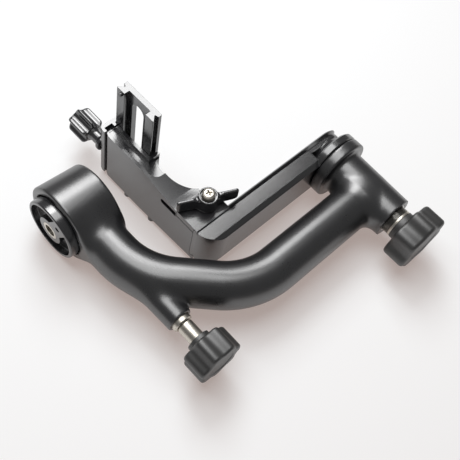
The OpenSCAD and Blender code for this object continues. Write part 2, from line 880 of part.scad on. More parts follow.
// dovetail opening of the jaws on the bar, in X and Y
module bar_socket(side) {
  s = side;
  polygon([
    [bar_x0 - seat, 0], [bar_x0 - seat, s * (bar_y - 1.2)],
    [bar_x0 + tail_t - 0.5, s * (bar_y + 0.35)],
    [bar_x0 + tail_t + 0.35, s * (bar_y + 0.35)],
    [hook_x - 0.1, s * (bar_y - groove_d + 0.95)],
    [hook_x + 2, s * (bar_y - groove_d + 0.35)],
    [hook_x + 2, 0]
  ]);
}

module platform() {
  color("#303134")
    difference() {
      union() {
        intersection() {
          slab_y(-plat_y - 1, plat_y + 1)
            plat_outline();
          translate([0, 0, plat_z - 1])
            linear_extrude(height = riser_h + 2)
              plat_plan();
        }
        // fixed hook on the far side of the bar
        translate([bar_x0 - seat - 1, bar_y - groove_d, plat_z])
          cube([hook_x - bar_x0 + seat + 1, hook_y - bar_y + groove_d, riser_h]);
        // fixed jaw of the dovetail clamp
        slab_y(-plat_y, plat_y)
          polygon([
            [fixed_x + 0.4, floor_z - 1], [fixed_x, plate_z + 0.8], [fixed_x - 3.0, plate_z + 3.9],
            [fixed_x - 3.0, plate_z + 4.9], [fixed_x - 0.2, plate_z + 5.4], [fixed_x + 0.6, plate_z + 7.6],
            [fixed_x + fixed_t - 1.5, plate_z + 7.6], [fixed_x + fixed_t, plate_z + 6.1],
            [fixed_x + fixed_t, floor_z - 1]
          ]);
      }
      // milled side grooves
      for (s = [-1, 1])
        translate([0, s * (plat_y + 4 - side_cut), 0])
          slab_y(-4, 4)
            side_groove();
      // room for the pinch leaf and the bar
      translate([riser_x + 1, -plat_y, plat_z - 1])
        cube([40, plat_y + leaf_y1 + kerf, riser_h + 2]);
      translate([0, 0, plat_z - 1])
        linear_extrude(height = riser_h + 2)
          bar_socket(1);
      translate([bar_x0 - seat, -bar_y - 3, plat_z - 1])
        cube([10, bar_y + 3, riser_h + 2]);
      // relief slot at the root of the saw cut
      translate([riser_x - relief_l, leaf_y1 + 0.2, plat_z - 1])
        linear_extrude(height = 7.5)
          union() {
            translate([0, -relief_w / 2])
              square([relief_l + 0.5, relief_w]);
            circle(r = relief_w / 2);
          }
      // screw holes
      yrod(wscrew_r, leaf_y1 - 1, wscrew_in + 2, wing_x, wing_z);
      xrod(cscrew_r, plat_x0 - 1, plat_x0 + cscrew_in + 4, screw_z);
      for (s = [-1, 1])
        xrod(guide_r, plat_x0 - 1, plat_x0 + guide_in + 3, screw_z, s * guide_y);
      for (x = side_screw_x)
        yrod(side_screw_r, plat_y - side_cut - 6, plat_y + 1, x, side_screw_z);
    }
}

// two small screws in the rear side of the platform
module side_screws() {
  color("#242528")
    for (x = side_screw_x)
      difference() {
        union() {
          yrod(side_screw_r, plat_y - side_cut - 5.5, plat_y + 1.0, x, side_screw_z);
          yrod(side_head_r, plat_y + 0.3, hub_r0 - 0.3, x, side_screw_z);
        }
        translate([x, hub_r0 + 0.2, side_screw_z])
          rotate([90, 0, 0])
            cylinder(r = 1.2, h = 2.4, $fn = 6);
      }
}

module pinch_jaw() {
  color("#2b2c2f")
    difference() {
      translate([0, 0, plat_z])
        linear_extrude(height = riser_h)
          polygon([
            [riser_x + 1 + seat, leaf_y - 1.0], [bar_x0, leaf_y - 0.9], [hook_x - 0.6, leaf_y - 0.9],
            [hook_x, leaf_y - 0.3], [hook_x, leaf_y + groove_d - 0.6], [hook_x - 0.15, leaf_y + groove_d - 0.6],
            [bar_x0 + tail_t + 0.5, leaf_y], [bar_x0 + tail_t + 0.3, leaf_y - 0.3],
            [bar_x0 + tail_t - 0.2, leaf_y - 0.3],
            [bar_x0 - seat, leaf_y + 1.2], [bar_x0 - seat, leaf_y1],
            [riser_x + 1 + seat, leaf_y1]
          ]);
      yrod(wscrew_r + 0.5, leaf_y - 4, leaf_y1 + 1, wing_x, wing_z);
    }
}

// ---- wing lever ----------------------------------------------------------

module wing_screw() {
  color("#d6d2c8")
    difference() {
      union() {
        yrod(wscrew_r - run, leaf_y - wscrew_out, wscrew_in, wing_x, wing_z);
        translate([wing_x, leaf_y - whead_out, wing_z])
          rotate([90, 0, 0])
            cylinder(r1 = whead_r, r2 = whead_r - 0.4, h = whead_h);
        translate([wing_x, leaf_y - whead_out - whead_h, wing_z])
          rotate([90, 0, 0])
            cylinder(r1 = whead_r - 0.4, r2 = whead_r - 1.8, h = 0.8);
      }
      for (a = [wing_dir, wing_dir + 90])
        translate([wing_x, leaf_y - whead_out - whead_h - 1.0, wing_z])
          rotate([0, a, 0])
            translate([-0.6, 0, -2.4])
              cube([1.2, 2.4, 4.8]);
    }
}

module wing_lever() {
  color("#34353a")
    difference() {
      union() {
        yrod(whub_r, leaf_y - whub_out, leaf_y - wing_gap, wing_x, wing_z);
        translate([wing_x, 0, wing_z])
          rotate([0, wing_dir, 0])
            translate([-wing_t / 2, 0, 0])
              rotate([90, 0, 90])
                linear_extrude(height = wing_t)
                  polygon([
                    [leaf_y - 1.9, -wing_l / 2 + 4], [leaf_y - 1.9, wing_l / 2 - 4],
                    [leaf_y - 3.4, wing_l / 2 - 1.2], [leaf_y - wing_h + 2, wing_l / 2],
                    [leaf_y - wing_h + 0.6, wing_l / 2 - 0.6], [leaf_y - wing_h, wing_l / 2 - 2],
                    [leaf_y - wing_h + 1.6, 7], [leaf_y - wing_h + 1.6, -7],
                    [leaf_y - wing_h, -wing_l / 2 + 2], [leaf_y - wing_h + 0.6, -wing_l / 2 + 0.6],
                    [leaf_y - wing_h + 2, -wing_l / 2], [leaf_y - 3.4, -wing_l / 2 + 1.2]
                  ]);
      }
      yrod(wscrew_r - run, leaf_y - whub_out - 6, leaf_y + 3, wing_x, wing_z);
      translate([wing_x, leaf_y - whead_out + 0.3, wing_z])
        rotate([90, 0, 0])
          cylinder(r = whub_r - 1.2, h = 6);
    }
}

// ---- dovetail clamp ------------------------------------------------------

module clamp_jaw() {
  color("#303134")
    difference() {
      slab_y(-plat_y, plat_y)
        polygon([
          [jaw_x - jaw_t, plat_z + 2.4], [jaw_x - jaw_t + 1.2, plat_z + 0.8], [foot_x - 2.4, plat_z],
          [foot_x, plat_z], [foot_x, floor_z - 0.1], [jaw_x - 0.1, floor_z - 0.1],
          [jaw_x, plate_z + 0.8], [jaw_x + 3.0, plate_z + 3.9], [jaw_x + 3.0, plate_z + 4.9],
          [jaw_x + 0.2, plate_z + 5.4], [jaw_x - 0.6, plate_z + 7.6], [jaw_x - jaw_t + 1.2, plate_z + 7.6],
          [jaw_x - jaw_t, plate_z + 6.4]
        ]);
      xrod(cscrew_r + 0.5, jaw_x - jaw_t - 1, foot_x + 1, screw_z);
      for (s = [-1, 1])
        xrod(guide_r, jaw_x - jaw_t + 1.5, foot_x + 1, screw_z, s * guide_y);
      // milled side grooves run on through the jaw
      for (s = [-1, 1])
        translate([0, s * (plat_y + 4 - side_cut), 0])
          slab_y(-4, 4)
            translate([jaw_x - 0.6, plat_z + 2.4])
              square([jaw_foot + 2, 7.0]);
    }
}

module guide_pins() {
  color("#b5b3ac")
    for (s = [-1, 1])
      xrod(guide_r - fit, jaw_x - jaw_t + 1.5, plat_x0 + guide_in, screw_z, s * guide_y);
}

module clamp_screw() {
  color("#cfccc4")
    xrod(cscrew_r - run, jaw_x - jaw_t - seat - neck_l - 1.3, plat_x0 + cscrew_in, screw_z);
}

module clamp_knob() {
  x1 = jaw_x - jaw_t - seat;
  x0 = x1 - neck_l;
  color("#1f2022")
    difference() {
      union() {
        turned_x([
          [x0 - 1, 0], [x0 - 1, 6.4], [x0 + 2.4, 4.7], [x1 - 4.4, 4.7], [x1 - 2.4, 6.4], [x1 - 0.5, 6.4], [x1, 5.9], [x1, 0]
        ], screw_z);
        translate([x0 - clamp_knob_l, 0, 0])
          intersection() {
            translate([0, 0, screw_z])
              rotate([0, 90, 0])
                linear_extrude(height = clamp_knob_l)
                  difference() {
                    circle(r = clamp_knob_r);
                    for (i = [0 : 5])
                      rotate(i * 60)
                        translate([clamp_knob_r + 1.6, 0])
                          circle(r = 3.4);
                  }
            turned_x([
              [0, 0], [0, clamp_knob_r - 2.6], [0.8, clamp_knob_r - 1.0], [2.4, clamp_knob_r],
              [clamp_knob_l - 2.4, clamp_knob_r], [clamp_knob_l - 0.8, clamp_knob_r - 1.0],
              [clamp_knob_l, clamp_knob_r - 2.6], [clamp_knob_l, 0]
            ], screw_z);
          }
      }
      xrod(cscrew_r - run, x0 - 1.3, x1 + 1, screw_z);
    }
}

// ---- lens plate ----------------------------------------------------------

module lens_plate() {
  color("#2d2e31")
    difference() {
      translate([plate_x, 0, plate_z])
        slab_y(-plate_out, plate_l - plate_out)
          polygon([
            [-half_w, 0], [-half_w, 0.9], [-neck_plate, 4.3], [-neck_plate, 4.9], [-lip_plate, 5.8],
            [-lip_plate, plate_t - 0.6], [-lip_plate + 0.6, plate_t], [lip_plate - 0.6, plate_t],
            [lip_plate, plate_t - 0.6], [lip_plate, 5.8], [neck_plate, 4.9], [neck_plate, 4.3],
            [half_w, 0.9], [half_w, 0], [chan, 0], [chan, channel_d], [-chan, channel_d], [-chan, 0]
          ]);
      // camera screw slot with rounded ends
      translate([slot_x, 0, plate_z - 1])
        linear_extrude(height = plate_t + 2)
          union() {
            translate([-cam_slot_r, -plate_out + slot_in])
              square([2 * cam_slot_r, plate_l - 2 * slot_in]);
            translate([0, -plate_out + slot_in])
              circle(r = cam_slot_r);
            translate([0, plate_l - plate_out - slot_in])
              circle(r = cam_slot_r);
          }
      // small stop screw holes near each end
      for (y = [-plate_out + stop_in, plate_l - plate_out - stop_in])
        translate([plate_x - stop_side, y, plate_z - 1])
          cylinder(r = stop_r, h = stop_up + 1.2);
    }
}

module lens_screw() {
  color("#cfccc4")
    difference() {
      union() {
        translate([slot_x, lens_y, plate_z + 0.6])
          cylinder(r = head_r, h = channel_d - 0.6);
        translate([slot_x, lens_y, plate_z + 2])
          cylinder(r = lens_r, h = plate_t + 4);
      }
      translate([slot_x - coin_l / 2, lens_y - coin_w / 2, plate_z])
        cube([coin_l, coin_w, coin_d + 0.6]);
    }
}

module plate_stops() {
  color("#2f3032")
    for (y = [-plate_out + stop_in, plate_l - plate_out - stop_in])
      translate([plate_x - stop_side, y, plate_z - stop_down])
        cylinder(r = stop_r, h = stop_up + stop_down);
}

base_disc();
thread_insert();
grub_screw();
friction_ring();
pan_spindle();
spindle_washer();
spindle_nut();
cast_arm();
lower_bush();
upper_bush();
hub_cap();
cap_screws();
pan_insert();
brake_pin();
pan_stud();
pan_knob();
inner_bush();
outer_bush();
tilt_insert();
tilt_stud();
tilt_washer();
tilt_knob();
swing_bar();
tilt_shaft();
shaft_ring();
shaft_screw();
bar_stop();
platform();
side_screws();
pinch_jaw();
wing_screw();
wing_lever();
clamp_jaw();
guide_pins();
clamp_screw();
clamp_knob();
lens_plate();
lens_screw();
plate_stops();
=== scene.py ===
import json
import math

import bmesh
import bpy
import numpy as np
from mathutils import Matrix, Vector


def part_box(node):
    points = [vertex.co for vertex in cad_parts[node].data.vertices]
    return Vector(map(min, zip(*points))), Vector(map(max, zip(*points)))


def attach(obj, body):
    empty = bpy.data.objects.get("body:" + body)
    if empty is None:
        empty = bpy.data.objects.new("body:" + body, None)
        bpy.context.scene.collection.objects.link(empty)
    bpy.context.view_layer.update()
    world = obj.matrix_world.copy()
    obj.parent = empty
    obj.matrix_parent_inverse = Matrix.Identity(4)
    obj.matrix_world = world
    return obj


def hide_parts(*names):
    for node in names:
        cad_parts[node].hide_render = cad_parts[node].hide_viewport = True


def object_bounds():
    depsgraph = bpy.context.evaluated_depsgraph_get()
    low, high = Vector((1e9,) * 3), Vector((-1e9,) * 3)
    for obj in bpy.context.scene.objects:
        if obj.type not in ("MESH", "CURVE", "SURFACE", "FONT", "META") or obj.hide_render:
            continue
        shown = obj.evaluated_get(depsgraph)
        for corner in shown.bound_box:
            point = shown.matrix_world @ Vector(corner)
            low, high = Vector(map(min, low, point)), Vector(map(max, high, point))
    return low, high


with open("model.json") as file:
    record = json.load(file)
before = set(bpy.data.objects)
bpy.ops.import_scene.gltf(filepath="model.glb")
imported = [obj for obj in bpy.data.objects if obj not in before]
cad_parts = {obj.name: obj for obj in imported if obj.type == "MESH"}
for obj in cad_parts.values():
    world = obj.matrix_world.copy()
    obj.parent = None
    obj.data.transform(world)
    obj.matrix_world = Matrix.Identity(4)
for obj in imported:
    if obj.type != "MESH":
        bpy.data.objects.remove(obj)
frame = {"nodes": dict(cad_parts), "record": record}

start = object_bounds()
nodes = frame["nodes"]
body_of = {n: b for b, ns in frame["record"]["behaviour"]["bodies"].items() for n in ns}
slot_of = {s["node"]: s["material_slot"] for s in frame["record"]["subparts"]}

MM = 1000.0

# sizes of the head in millimetres, which follow the CAD source
TUBE_R, TUBE_Z, ARM_X, BEND_R, SLANT = 17.5, 24.0, 125.0, 60.0, 30.0
TILT_Z, TILT_X0, TILT_X1 = 206.0, 88.75, 152.7
HUB_Z0, HUB_Z1, HUB_R0, HUB_R1 = 7.4, 43.9, 30.6, 28.7
BARREL_X0, BARREL_R, BARREL_TAPER = 98.0, 17.9, 0.0256
FLANGE_R, FLANGE_HALF = 25.4, 4.6
BUSH_R, SKIRT_R, SKIRT_Z = 13.0, 25.1, 10.8
CAP_R, CAP_Z, PIT_R, PIT_Z = 22.0, 41.5, 17.0, 35.7
LOCK_Z, INSERT_R, INSERT_X0 = 25.0, 7.6, 94.6
LEAF_Y, WING_X, WING_Z, WING_DIR = -18.0, 61.0, 92.3, 23.5
LEVER_GAP, LEVER_HUB_R, LEVER_HUB_MID, LEVER_HUB_HALF = 1.3, 7.2, 7.55, 6.25
SCREW_Z, CLAMP_X0, CLAMP_X1, CLAMP_R = 76.9, -67.1, -47.1, 11.0
KNOB_LOBES, KNOB_L, STUD_R, COLLAR_R = 7, 19.5, 4.0, 8.9
PAN_KNOB_X, PAN_KNOB_R, TILT_KNOB_X, TILT_KNOB_R = 132.6, 18.6, 164.4, 24.4

# sizes that only this file has, or that differ from the solids
LOCK_MID, LOCK_R, LOCK_HALF, LOCK_TAPER, LOCK_TAPER_X = 90, 10.2, 20.6, 0.022, 95
BLADE_REACH, BLADE_TOP, BLADE_LOW, BLADE_SIDE = 23.25, 13.0, 2.0, 1.55
DISH_R, DISH_H, LEVER_BORE = 6.0, 12.1, 3.1
LOBE_DEPTH, PAN_PHASE, TILT_PHASE = 0.15, 46.7, 26.1
PAN_COLLAR_X, TILT_COLLAR_X, TILT_COLLAR_R, PAN_HOLE, TILT_HOLE = 128.4, 159.6, 12.0, 4.1, 5.1
THREAD_X0, THREAD_X1, THREAD_PITCH, THREAD_ROOT, THREAD_CREST = 152.5, 157.4, 0.8, 10.7, 11.75
WASHER_X0, WASHER_X1, WASHER_R, INSERT_BORE, TILT_PIT_R = 157.5, 159.5, 11.7, 5.2, 12.9
SLEEVE_X0, SLEEVE_X1, SLEEVE_R = 114.9, 128.3, 6.0


# ---- materials ---------------------------------------------------------------

def wire(tree, kind, **values):
    """A shader node with its sockets or settings given by name."""
    node = tree.nodes.new(kind)
    for key, value in values.items():
        if key in node.inputs:
            node.inputs[key].default_value = value
        else:
            setattr(node, key, value)
    return node


def coords(tree, scale):
    """Object coordinates, stretched along some axes."""
    tc = wire(tree, "ShaderNodeTexCoord")
    mp = wire(tree, "ShaderNodeMapping")
    mp.inputs["Scale"].default_value = scale
    tree.links.new(tc.outputs["Object"], mp.inputs["Vector"])
    return mp.outputs["Vector"]


def ramp(tree, source, stops):
    r = wire(tree, "ShaderNodeValToRGB")
    e = r.color_ramp.elements
    while len(e) < len(stops):
        e.new(0.5)
    for k, (pos, c) in zip(e, stops):
        k.position = pos
        k.color = (*c, 1) if isinstance(c, tuple) else (c, c, c, 1)
    tree.links.new(source, r.inputs["Fac"])
    return r.outputs["Color"]


def noise(tree, vector, scale, detail=3.0, rough=0.55):
    n = wire(tree, "ShaderNodeTexNoise", Scale=scale, Detail=detail, Roughness=rough)
    tree.links.new(vector, n.inputs["Vector"])
    return n.outputs["Fac"]


def mix(tree, fac, a, b):
    m = wire(tree, "ShaderNodeMix", data_type="RGBA")
    for sock, v in ((m.inputs[0], fac), (m.inputs[6], a), (m.inputs[7], b)):
        if hasattr(v, "is_output"):
            tree.links.new(v, sock)
        else:
            sock.default_value = v if not isinstance(v, tuple) else (*v, 1)
    return m.outputs[2]


def maths(tree, op, a, b=0.5):
    m = wire(tree, "ShaderNodeMath", operation=op)
    for sock, v in ((m.inputs[0], a), (m.inputs[1], b)):
        if hasattr(v, "is_output"):
            tree.links.new(v, sock)
        else:
            sock.default_value = v
    return m.outputs[0]


DUST = (0.35, 0.34, 0.33)


def finish_of(name, base, rough, metallic=0.0, grain=1200.0, stretch=(1, 1, 1), bump=0.25,
              depth=0.00006, wear=0.25, specks=0.0, spread=0.12, spec=0.5, ior=1.5, vary=1.0):
    """A procedural finish: varied colour, grain in roughness and bump, worn edges, specks of dust."""
    mat = bpy.data.materials.new(name)
    mat.use_nodes = True
    t = mat.node_tree
    t.nodes.clear()
    out = wire(t, "ShaderNodeOutputMaterial")
    b = wire(t, "ShaderNodeBsdfPrincipled")
    b.inputs["Metallic"].default_value = metallic
    b.inputs["Specular IOR Level"].default_value = spec
    b.inputs["IOR"].default_value = ior
    t.links.new(b.outputs[0], out.inputs[0])
    v = coords(t, stretch)
    fine = noise(t, v, grain, 2.0, 0.6)
    broad = noise(t, coords(t, (1, 1, 1)), 45.0, 4.0, 0.6)
    dark = tuple(c * (1 - spread) for c in base)
    light = tuple(min(1.0, c * (1 + spread)) for c in base)
    colour = mix(t, ramp(t, broad, [(0.3, 0.0), (0.7, 1.0)]), dark, light)
    geo = wire(t, "ShaderNodeNewGeometry")
    worn = tuple(min(1.0, c * 2.2 + 0.02) for c in base)
    edge = ramp(t, geo.outputs["Pointiness"], [(0.52, 0.0), (0.60, 1.0)])
    patch = ramp(t, noise(t, coords(t, (1, 1, 1)), 160.0, 5.0, 0.7), [(0.45, 0.0), (0.62, 1.0)])
    amount = maths(t, "MULTIPLY", maths(t, "MULTIPLY", edge, patch), wear)
    colour = mix(t, amount, colour, worn)
    if specks:
        dots = wire(t, "ShaderNodeTexVoronoi", Scale=330.0)
        t.links.new(coords(t, (1, 1, 1)), dots.inputs["Vector"])
        near = ramp(t, dots.outputs["Distance"], [(0.0, 1.0), (0.10, 0.0)])
        few = noise(t, coords(t, (1, 1, 1)), 700.0, 1.0, 0.5)
        some = ramp(t, few, [(0.56, 0.0), (0.60, 1.0)])
        dust = maths(t, "MULTIPLY", maths(t, "MULTIPLY", near, some), specks)
        colour = mix(t, dust, colour, DUST)
    t.links.new(colour, b.inputs["Base Color"])
    r = maths(t, "ADD", maths(t, "MULTIPLY", maths(t, "SUBTRACT", fine, 0.5), 0.18 * vary), rough)
    r = maths(t, "ADD", maths(t, "MULTIPLY", maths(t, "SUBTRACT", broad, 0.5), 0.12 * vary), r)
    t.links.new(r, b.inputs["Roughness"])
    bm = wire(t, "ShaderNodeBump", Strength=bump, Distance=depth)
    t.links.new(fine, bm.inputs["Height"])
    t.links.new(bm.outputs[0], b.inputs["Normal"])
    return mat


ALONG_X = (4, 1, 1)
MATS = {
    "cast_black": finish_of("cast_black", (0.0115, 0.0115, 0.0125), 0.31, grain=1500, bump=0.35,
                            depth=0.00005, specks=0.5, wear=0.2, spec=1.0, ior=1.65),
    "bar_black": finish_of("bar_black", (0.014, 0.014, 0.015), 0.19, grain=2600, bump=0.1,
                           depth=0.00001, specks=0.25, wear=0.3, spec=0.8, ior=1.85, vary=0.3),
    "anodised_black": finish_of("anodised_black", (0.016, 0.016, 0.018), 0.20, grain=900,
                                stretch=(1, 0.15, 3), bump=0.03, depth=0.00001, wear=0.35,
                                spec=0.8, ior=1.75, vary=0.3),
    "rubber_black": finish_of("rubber_black", (0.019, 0.0185, 0.018), 0.46, grain=1800, bump=0.4,
                              depth=0.00005, wear=0.15, specks=0.6, spec=0.9, ior=1.6),
    "nickel": finish_of("nickel", (0.62, 0.585, 0.52), 0.36, metallic=1.0, grain=1500,
                        stretch=ALONG_X, bump=0.1, depth=0.00002, wear=0.0, spread=0.06),
    "steel": finish_of("steel", (0.42, 0.41, 0.39), 0.30, metallic=1.0, grain=1500,
                       stretch=ALONG_X, bump=0.15, depth=0.00003, wear=0.0, spread=0.1),
    "black_screw": finish_of("black_screw", (0.016, 0.016, 0.017), 0.33, grain=2000, bump=0.15,
                             depth=0.00003, wear=0.4, spec=1.0),
    "bronze": finish_of("bronze", (0.50, 0.36, 0.17), 0.38, metallic=1.0, grain=2600, bump=0.3,
                        depth=0.00004, wear=0.0, spread=0.1),
    "nylon": finish_of("nylon", (0.74, 0.72, 0.66), 0.45, grain=1200, bump=0.1, depth=0.00003,
                       wear=0.0, spread=0.04),
}


# ---- mesh tools --------------------------------------------------------------

def piece(name, verts, faces, node, angle=32, standin=True):
    """A mesh in millimetres that rides the body of a CAD node and takes its slot."""
    me = bpy.data.meshes.new(name)
    points = [tuple(v) for v in (np.asarray(verts, float) / MM).tolist()]
    me.from_pydata(points, [], [list(map(int, f)) for f in faces])
    me.validate()
    ob = bpy.data.objects.new(name, me)
    bpy.context.scene.collection.objects.link(ob)
    me.materials.append(MATS[slot_of[node]])
    soften(me, angle)
    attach(ob, body_of[node])
    if standin:
        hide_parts(node)


SAME_FACE = 33      # degrees; under 45, so that chamfers keep out of the flats beside them


def soften(me, angle):
    """Smooth shading that breaks at edges sharper than the angle."""
    me.polygons.foreach_set("use_smooth", [True] * len(me.polygons))
    me.set_sharp_from_angle(angle=math.radians(angle))


def weighted(me):
    """Corner normals that lean to the largest face beside them, so flats stay flat by small rounds."""
    me.polygons.foreach_set("use_smooth", [True] * len(me.polygons))
    n, m = len(me.polygons), len(me.loops)
    area, norm = np.zeros(n), np.zeros(n * 3)
    me.polygons.foreach_get("area", area)
    me.polygons.foreach_get("normal", norm)
    norm = norm.reshape(-1, 3)
    total, corner = np.zeros(n, np.int64), np.zeros(m, np.int64)
    me.polygons.foreach_get("loop_total", total)
    me.loops.foreach_get("vertex_index", corner)
    face = np.repeat(np.arange(n), total)
    order = np.argsort(corner, kind="stable")
    ends = np.searchsorted(corner[order], np.arange(len(me.vertices) + 1))
    out, limit = np.zeros((m, 3)), math.cos(math.radians(SAME_FACE))
    for k in range(len(me.vertices)):
        ls = order[ends[k]:ends[k + 1]]
        fs = face[ls]
        near = (norm[fs] @ norm[fs].T) > limit
        out[ls] = (near * area[fs][None, :]) @ norm[fs]
    out /= np.maximum(np.linalg.norm(out, axis=1), 1e-12)[:, None]
    me.normals_split_custom_set(out.tolist())


def joined(*parts):
    """Several (verts, faces) as one."""
    vs, fs, n = [], [], 0
    for v, f in parts:
        vs += [tuple(p) for p in v]
        fs += [[i + n for i in q] for q in f]
        n += len(v)
    return vs, fs


def turned(profile, origin, n=96, reach=None):
    """A closed form turned about X: [(along, radius)], ending at radius 0 or joined in a loop."""
    a, u, w = np.eye(3)
    o = np.array(origin, float)
    prof = list(profile)
    loop = prof[0][1] > 1e-6
    verts, rows = [], []
    for k, (h, r) in enumerate(prof):
        if r < 1e-6:
            rows.append([len(verts)] * n)
            verts.append(o + a * h)
            continue
        row = []
        for j in range(n):
            t = 2 * math.pi * j / n
            rr = r if reach is None else r * reach(t, k)
            row.append(len(verts))
            verts.append(o + a * h + (u * math.cos(t) + w * math.sin(t)) * rr)
        rows.append(row)
    faces = []
    pairs = list(zip(rows, rows[1:])) + ([(rows[-1], rows[0])] if loop else [])
    for p, q in pairs:
        for j in range(n):
            k = (j + 1) % n
            f = [p[j], p[k], q[k], q[j]]
            f = [x for i, x in enumerate(f) if x != f[i - 1]]
            if len(f) > 2:
                faces.append(f[::-1])
    return verts, faces


def rounded(profile, r):
    """Rounds the corners of a turned profile by r."""
    out, steps = [], 3
    for i, p in enumerate(profile):
        if i in (0, len(profile) - 1):
            out.append(p)
            continue
        p0, p1, p2 = (np.array(profile[i + d], float) for d in (-1, 0, 1))
        d0, d2 = np.linalg.norm(p0 - p1), np.linalg.norm(p2 - p1)
        k = min(r, d0 * 0.45, d2 * 0.45)
        a, c = p1 + (p0 - p1) / max(d0, 1e-9) * k, p1 + (p2 - p1) / max(d2, 1e-9) * k
        for s in range(steps + 1):
            t = s / steps
            out.append(tuple(a * (1 - t) ** 2 + p1 * 2 * t * (1 - t) + c * t * t))
    return out


BREAK = 0.3         # round in mm on the edges of the machined pieces
BREAK_OVER = 26     # degrees; flatter edges stay as they are


def refined(node):
    """The CAD solid with its machined edges broken by a small round, as a new piece."""
    src = nodes[node]
    bm = bmesh.new()
    bm.from_mesh(src.data)
    bmesh.ops.remove_doubles(bm, verts=bm.verts, dist=2e-6)
    bmesh.ops.dissolve_limit(bm, angle_limit=math.radians(1.2), verts=bm.verts, edges=bm.edges,
                             delimit={"NORMAL"})
    sharp = math.radians(BREAK_OVER)
    edges = [e for e in bm.edges if len(e.link_faces) == 2 and e.calc_face_angle(0) > sharp]
    bmesh.ops.bevel(bm, geom=edges, offset=BREAK / MM, offset_type="OFFSET", segments=3,
                    profile=0.5, affect="EDGES", clamp_overlap=True, miter_outer="ARC")
    me = bpy.data.meshes.new(node + "_form")
    bm.to_mesh(me)
    bm.free()
    ob = bpy.data.objects.new(node + "_form", me)
    bpy.context.scene.collection.objects.link(ob)
    me.materials.clear()
    me.materials.append(MATS[slot_of[node]])
    weighted(me)
    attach(ob, body_of[node])
    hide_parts(node)


# ---- the cast arm as one smooth skin ------------------------------------------

def smin(a, b, k):
    """The union of two fields, blended over about k."""
    h = np.clip(0.5 + 0.5 * (b - a) / k, 0, 1)
    return b * (1 - h) + a * h - k * h * (1 - h)


def box2(px, py, hx, hy, r):
    """Distance to a rounded rectangle of half sizes hx, hy."""
    qx, qy = np.abs(px) - hx + r, np.abs(py) - hy + r
    return np.hypot(np.maximum(qx, 0), np.maximum(qy, 0)) + np.minimum(np.maximum(qx, qy), 0) - r


def tube_path(x, z):
    """Distance in the plane of the bends to the axis of the tube."""
    bx = ARM_X - BEND_R - SLANT * math.cos(math.pi / 4)
    bx2, bz = bx + SLANT * math.cos(math.pi / 4), TUBE_Z + BEND_R
    bz2 = bz + SLANT * math.sin(math.pi / 4)

    def run(ax, az, cx, cz):
        dx, dz = cx - ax, cz - az
        t = np.clip(((x - ax) * dx + (z - az) * dz) / (dx * dx + dz * dz), 0, 1)
        return np.hypot(x - ax - t * dx, z - az - t * dz)

    def arc(cx, cz, a0, a1):
        t = np.clip(np.arctan2(z - cz, x - cx), a0, a1)
        return np.hypot(x - cx - BEND_R * np.cos(t), z - cz - BEND_R * np.sin(t))

    s = math.sin(math.pi / 4)
    d = run(0, TUBE_Z, bx, TUBE_Z)
    d = np.minimum(d, arc(bx, bz, -math.pi / 2, -math.pi / 4))
    d = np.minimum(d, run(bx + BEND_R * s, bz - BEND_R * s, bx2 + BEND_R * s, bz2 - BEND_R * s))
    d = np.minimum(d, arc(bx2, bz2, -math.pi / 4, 0))
    return np.minimum(d, run(ARM_X, bz2, ARM_X, TILT_Z))


def arm_field(x, y, z):
    """The cast arm: tube, pan hub, tilt hub with its flange and lock boss, less the bores and pits."""
    tube = np.hypot(tube_path(x, z), y) - TUBE_R
    rho = np.hypot(x, y)
    draft = (HUB_R1 - HUB_R0) / (HUB_Z1 - HUB_Z0)
    mid = (HUB_Z0 + HUB_Z1) / 2
    hub = box2(rho - draft * (z - mid), z - mid, (HUB_R0 + HUB_R1) / 2, (HUB_Z1 - HUB_Z0) / 2, 1.7)
    q = np.hypot(y, z - TILT_Z)
    tx = (BARREL_X0 + TILT_X1) / 2
    barrel = box2(q + (x - tx) * BARREL_TAPER, x - tx, BARREL_R, (TILT_X1 - BARREL_X0) / 2 + 2.0, 1.6)
    barrel = np.maximum(barrel, x - TILT_X1)
    flange = box2(q, x - TILT_X0 - FLANGE_HALF, FLANGE_R, FLANGE_HALF, 1.5)
    tilt = np.maximum(smin(barrel, flange, 3.0), TILT_X0 - x)
    lock_q = np.hypot(y, z - LOCK_Z)
    lock = box2(lock_q + (x - LOCK_TAPER_X) * LOCK_TAPER, x - LOCK_MID, LOCK_R, LOCK_HALF, 0.9)
    f = smin(tube, hub, 9.0)
    # a wide blend below the tilt axis, and a tight one above it, where the barrel runs straight
    f = smin(f, tilt, 1.0 + 8.0 * np.clip((TILT_Z + 2.0 - z) / 14.0, 0, 1))
    f = smin(f, lock, 5.0)
    f = np.maximum(f, HUB_Z0 - 0.9 - z)
    # skirt, pits and bores
    cuts = [
        np.maximum(rho - SKIRT_R, z - SKIRT_Z),
        np.maximum(rho - CAP_R, CAP_Z - z),
        np.maximum(rho - PIT_R, PIT_Z - z),
        rho - BUSH_R,
        np.maximum(lock_q - INSERT_R, INSERT_X0 - x),
        q - BUSH_R,
    ]
    for c in cuts:
        f = np.maximum(f, -c)
    return f


